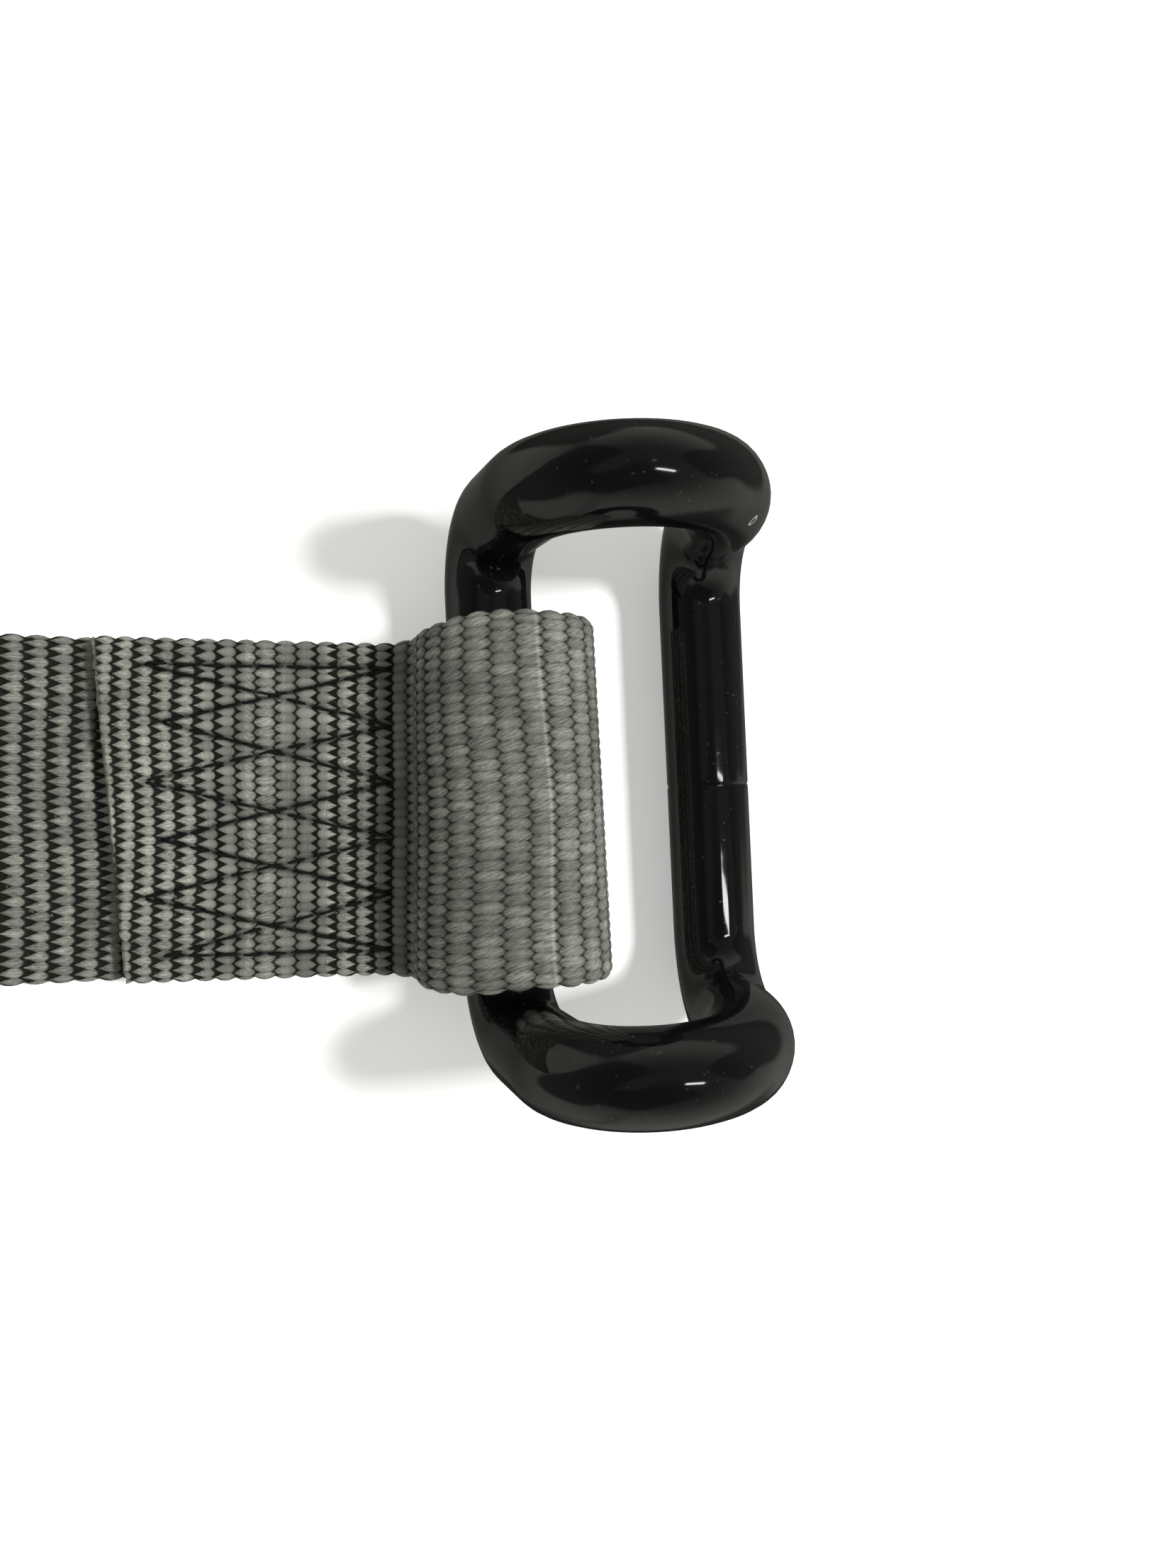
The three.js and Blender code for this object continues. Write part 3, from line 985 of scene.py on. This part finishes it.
def model_stitch(thread):
    """One stitch along X from the origin, arched, with both ends turned down."""
    select_only()
    steps = 8
    radius = thread.diameter / 2
    bpy.ops.mesh.primitive_circle_add(
        vertices=8, radius=radius, fill_type="NGON", location=(0, 0, 0),
        rotation=(0, math.pi / 2, 0),
    )
    piece = bpy.context.object
    bpy.ops.object.transform_apply(rotation=True)
    start_editing(piece, "VERT", "SELECT")
    for _ in range(steps):
        bpy.ops.mesh.extrude_region_move(
            TRANSFORM_OT_translate={"value": (thread.stitch / steps, 0, 0)})
    bpy.ops.object.mode_set(mode="OBJECT")
    mesh = piece.data
    layer = mesh.uv_layers.get("UVMap") or mesh.uv_layers.new()
    layer.name = WEAVE_MAP
    points = coordinates(mesh)
    for loop in mesh.loops:
        p = points[loop.vertex_index]
        turn = math.atan2(p[2], p[1]) / math.tau
        layer.data[loop.index].uv = (p[0] / thread.stitch, turn)
    share = points[:, 0] / thread.stitch
    points[:, 2] -= STITCH_DROP * np.abs(2 * share - 1) ** 5
    points[:, 1] *= 1 - STITCH_NARROWS * np.abs(2 * share - 1) ** 3
    set_coordinates(mesh, points)
    return piece


def stitch_copy(model, matrix, mirrored):
    """A copy under a matrix, with its normals turned back where the matrix mirrors it."""
    copy = model.copy()
    copy.data = model.data.copy()
    bpy.context.scene.collection.objects.link(copy)
    copy.data.transform(matrix)
    if mirrored:
        copy.data.flip_normals()
    return copy


class STRAP_OT_seam(bpy.types.Operator):
    """Make the seam's stitches on both faces"""

    bl_idname = "strap.seam"
    bl_label = "Seam"

    def execute(self, context):
        strap, thread = context.scene.strap, context.scene.thread
        model = model_stitch(thread)
        rng = random.Random(5)
        flap_top = 2 * strap.thickness + strap.layer_gap
        copies = []
        for run in seam_runs(strap, thread):
            start, end = (Vector((*p, 0)) for p in run)
            length = (end - start).length
            count = round(length / thread.stitch)
            heading = math.atan2(end.y - start.y, end.x - start.x)
            for i in range(count):
                place = start.lerp(end, i / count)
                for top in (True, False):
                    sway = rng.uniform(-1, 1)
                    height = thread.diameter / 2 + STITCH_UNEVEN * (1 + abs(sway))
                    if top:
                        height = flap_top - thread.sink - STITCH_UNEVEN * abs(sway)
                    stretch = length / count / thread.stitch
                    aside = STITCH_ASIDE * rng.uniform(-1, 1)
                    matrix = (
                        Matrix.Translation((place.x, place.y + aside, height))
                        @ Matrix.Rotation(heading + STITCH_SWAY * sway, 4, "Z")
                        @ Matrix.Diagonal((stretch, 1, 1 if top else -1, 1))
                    )
                    copies.append(stitch_copy(model, matrix, not top))
        bpy.data.objects.remove(model)
        select_only(*copies)
        bpy.ops.object.join()
        piece = bpy.context.object
        piece.name = piece.data.name = "stitches"
        bpy.ops.object.transform_apply(location=True, rotation=True, scale=True)
        bpy.ops.object.shade_smooth()
        piece.data.materials.append(thread_material(thread))
        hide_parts("seam_thread")
        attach(piece, "strap")
        return {"FINISHED"}


# Hook

# Steps round a corner, a crown and a shoulder
CORNER_STEPS = 14
CROWN_STEPS = 26
SHOULDER_STEPS = 8

# The groove where the rod's ends meet, with rings of points at these distances from it
JOINT_DEPTH = 0.14 * MM
JOINT_WIDTH = 0.22 * MM
JOINT_RINGS = (-0.6 * MM, -0.25 * MM, 0.0, 0.25 * MM, 0.6 * MM)

# Points nearer than this are made one
WELD = 0.01 * MM


def spin_end(centre, axis, angle, steps):
    """Spins the selected ring about an axis, right-handed for a positive angle."""
    bpy.ops.mesh.spin(steps=steps, angle=-angle, center=centre, axis=axis)


def rest_turn(hook, tip):
    """The turn about the strap bar that sets the tip bar down on the floor."""
    radius = hook.rod / 2
    return math.atan2(tip.z, tip.x) - math.asin((radius - BAR_HEIGHT) / math.hypot(tip.x, tip.z))


def half_ring(hook):
    """Half of the ring, from the strap bar's middle to the tip bar's middle."""
    select_only()
    bpy.ops.mesh.primitive_circle_add(
        vertices=hook.sides, radius=hook.rod / 2, location=(0, 0, 0),
        rotation=(math.pi / 2, 0, 0),
    )
    piece = bpy.context.object
    piece.name = piece.data.name = "hook"
    bpy.ops.object.transform_apply(rotation=True)
    start_editing(piece, "VERT", "SELECT")

    at = Vector((0, 0, 0))
    across = Vector((0, 1, 0))
    heading = hook.leg_angle

    def ahead():
        return Vector((math.cos(heading), 0, math.sin(heading)))

    def straight(direction, length):
        nonlocal at
        bpy.ops.mesh.extrude_region_move(TRANSFORM_OT_translate={"value": direction * length})
        at = at + direction * length

    straight(across, hook.arm_offset - hook.strap_corner)
    spin_end(at + ahead() * hook.strap_corner, across.cross(ahead()), math.pi / 2, CORNER_STEPS)
    at = at + (across + ahead()) * hook.strap_corner
    straight(ahead(), hook.leg - hook.strap_corner)
    for radius, turn, steps in (
        (hook.crown, hook.crown_turn, CROWN_STEPS),
        (hook.shoulder, hook.shoulder_turn, SHOULDER_STEPS),
    ):
        centre = at + Vector((math.sin(heading), 0, -math.cos(heading))) * radius
        spin_end(centre, across, turn, steps)
        heading -= turn
        at = centre - Vector((math.sin(heading), 0, -math.cos(heading))) * radius
    straight(ahead(), hook.tip_leg - hook.tip_corner)
    spin_end(
        at - across * hook.tip_corner, -(ahead().cross(across)), math.pi / 2, CORNER_STEPS)
    at = at + (ahead() - across) * hook.tip_corner
    tip = at.copy()
    straight(-across, hook.arm_offset - hook.tip_corner)
    bpy.ops.object.mode_set(mode="OBJECT")
    return piece, tip


def close_ring(piece):
    """Adds the mirrored half and joins the two."""
    select_only(piece)
    mirror = piece.modifiers.new("Other half", "MIRROR")
    mirror.use_axis = (False, True, False)
    mirror.use_clip = True
    mirror.merge_threshold = WELD
    bpy.ops.object.modifier_apply(modifier=mirror.name)
    start_editing(piece, "VERT", "SELECT")
    bpy.ops.mesh.remove_doubles(threshold=WELD)
    bpy.ops.mesh.normals_make_consistent(inside=False)
    bpy.ops.object.mode_set(mode="OBJECT")


def mark_joint(piece, hook, tip):
    """A shallow groove round the tip bar where the rod's two ends meet."""
    mesh = piece.data

    def near_bar(points):
        """Which points lie on the tip bar's rod, with a little to spare."""
        return np.hypot(points[:, 0] - tip.x, points[:, 2] - tip.z) < hook.rod * 0.51

    for offset in JOINT_RINGS:
        select_points(piece, near_bar(coordinates(mesh)))
        bpy.ops.mesh.bisect(
            plane_co=(0, hook.joint_place + offset, 0), plane_no=(0, 1, 0), threshold=1e-7)
        bpy.ops.object.mode_set(mode="OBJECT")
    points = coordinates(mesh)
    on_bar = near_bar(points)
    away = np.abs(points[:, 1] - hook.joint_place)
    share = 1 - JOINT_DEPTH * np.exp(-((away / JOINT_WIDTH) ** 2)) / (hook.rod / 2)
    for axis, middle in ((0, tip.x), (2, tip.z)):
        points[on_bar, axis] = middle + (points[on_bar, axis] - middle) * share[on_bar]
    set_coordinates(mesh, points)


class STRAP_OT_hook(bpy.types.Operator):
    """Make the coated wire hook as it lies in the strap's eye"""

    bl_idname = "strap.hook"
    bl_label = "Wire hook"

    def execute(self, context):
        strap, hook = context.scene.strap, context.scene.hook
        piece, tip = half_ring(hook)
        close_ring(piece)
        mark_joint(piece, hook, tip)
        piece.matrix_world = (
            Matrix.Translation((0, 0, BAR_HEIGHT))
            @ Matrix.Rotation(HOOK_SKEW, 4, "Z")
            @ Matrix.Translation((0, hook.slide + strap.eye_shift, 0))
            @ Matrix.Rotation(rest_turn(hook, tip), 4, "Y")
        )
        select_only(piece)
        bpy.ops.object.transform_apply(location=True, rotation=True, scale=True)
        bpy.ops.object.shade_smooth()
        piece.data.materials.append(coating_material(hook, dust_group()))
        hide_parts("wire_hook")
        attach(piece, "hook")
        return {"FINISHED"}


# Stage

# The floor's own light
FLOOR_LIGHT = 0.35

# What the hook reflects: the room's light at the horizon and overhead, and its patches as
# shares of that
HORIZON_LIGHT = 0.4
OVERHEAD_LIGHT = 0.09
ROOM_SHADES = (0.35, 1.5)


def room_light(stage):
    """An even light, but for reflections a dark room with soft patches, paler near the
    horizon."""
    world = bpy.data.worlds.new("Room")
    world.use_nodes = True
    w = Wiring(world.node_tree)
    back = world.node_tree.nodes["Background"]
    back.inputs["Color"].default_value = (*stage.room_colour, 1)
    direction = w.node("ShaderNodeTexCoord").outputs["Generated"]
    steepness = w.math("ABSOLUTE", w.parts(direction)[2])
    patches = w.noise(direction, 0.75, 1.0, 0.4)
    seen = w.product(
        w.ramp(steepness, 0.1, 0.85, HORIZON_LIGHT, OVERHEAD_LIGHT),
        w.ramp(patches, 0.47, 0.53, *ROOM_SHADES),
    )
    glossy = w.node("ShaderNodeLightPath").outputs["Is Glossy Ray"]
    w.feed(back.inputs["Strength"], w.mix_numbers(glossy, stage.room_strength, seen))
    return world


def add_light(name, place, size, power, colour):
    """A rectangular lamp that faces the origin."""
    data = bpy.data.lights.new(name, "AREA")
    data.shape = "RECTANGLE"
    data.size, data.size_y = size
    data.energy = power
    data.color = colour
    lamp = bpy.data.objects.new(name, data)
    bpy.context.scene.collection.objects.link(lamp)
    lamp.location = place
    lamp.rotation_euler = (-Vector(place)).to_track_quat("-Z", "Y").to_euler()
    return lamp


class STRAP_OT_stage(bpy.types.Operator):
    """Make the floor, the lights and the camera"""

    bl_idname = "strap.stage"
    bl_label = "Stage"

    def execute(self, context):
        stage = context.scene.stage
        scene = context.scene
        camera = bpy.data.objects.new("camera", bpy.data.cameras.new("camera"))
        scene.collection.objects.link(camera)
        camera.location = stage.camera_place
        camera.rotation_euler = stage.camera_turn
        camera.data.lens = stage.lens
        camera.data.clip_start = 0.005
        scene.camera = camera

        select_only()
        bpy.ops.mesh.primitive_plane_add(size=stage.floor_size, location=(0, 0, 0))
        floor = bpy.context.object
        floor.name = "floor"
        material, w, shader = new_material("Pale floor")
        place = w.node("ShaderNodeTexCoord").outputs["Object"]
        tone = w.noise(place, 3.0, 3.0)
        pale = tuple(c * 0.97 for c in stage.floor_colour)
        w.feed(shader["Base Color"], w.mix(tone, stage.floor_colour, pale))
        shader["Roughness"].default_value = 0.9
        shader["Specular IOR Level"].default_value = 0.1
        shader["Emission Color"].default_value = (1, 1, 1, 1)
        shader["Emission Strength"].default_value = FLOOR_LIGHT
        floor.data.materials.append(material)
        floor.visible_glossy = False

        scene.world = room_light(stage)
        scene.view_settings.view_transform = "Standard"
        key = add_light(
            "soft light", place=(0.62, 0.1, 0.88), size=(0.16, 0.16), power=12,
            colour=(1.0, 1.0, 0.98),
        )
        key.visible_glossy = False
        window = add_light(
            "window", place=(0.3, -0.06, 0.8), size=(0.05, 0.22), power=0.7,
            colour=(1.0, 1.0, 1.0),
        )
        window.visible_diffuse = False
        return {"FINISHED"}


# Panel and registration


class STRAP_PT_panel(bpy.types.Panel):
    """Lists the makers of each piece"""

    bl_label = "Strap with hook"
    bl_idname = "STRAP_PT_panel"
    bl_space_type = "VIEW_3D"
    bl_region_type = "UI"
    bl_category = "Strap"

    def draw(self, context):
        layout = self.layout
        for name in ("strap", "thread", "hook", "stage"):
            box = layout.box()
            settings = getattr(context.scene, name)
            for label in settings.__annotations__:
                box.prop(settings, label)
        for maker in OPERATORS:
            layout.operator(maker.bl_idname)


SETTINGS = {
    "strap": StrapSettings,
    "thread": ThreadSettings,
    "hook": HookSettings,
    "stage": StageSettings,
}
OPERATORS = (STRAP_OT_stage, STRAP_OT_webbing, STRAP_OT_seam, STRAP_OT_hook)


def register():
    for kind in (*SETTINGS.values(), *OPERATORS, STRAP_PT_panel):
        bpy.utils.register_class(kind)
    for name, kind in SETTINGS.items():
        setattr(bpy.types.Scene, name, bpy.props.PointerProperty(type=kind))


def unregister():
    for name in SETTINGS:
        delattr(bpy.types.Scene, name)
    for kind in (STRAP_PT_panel, *reversed(OPERATORS), *SETTINGS.values()):
        bpy.utils.unregister_class(kind)


def main():
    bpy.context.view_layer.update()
    register()
    bpy.ops.strap.stage()
    bpy.ops.strap.webbing()
    bpy.ops.strap.seam()
    bpy.ops.strap.hook()


if __name__ == "__main__":
    main()
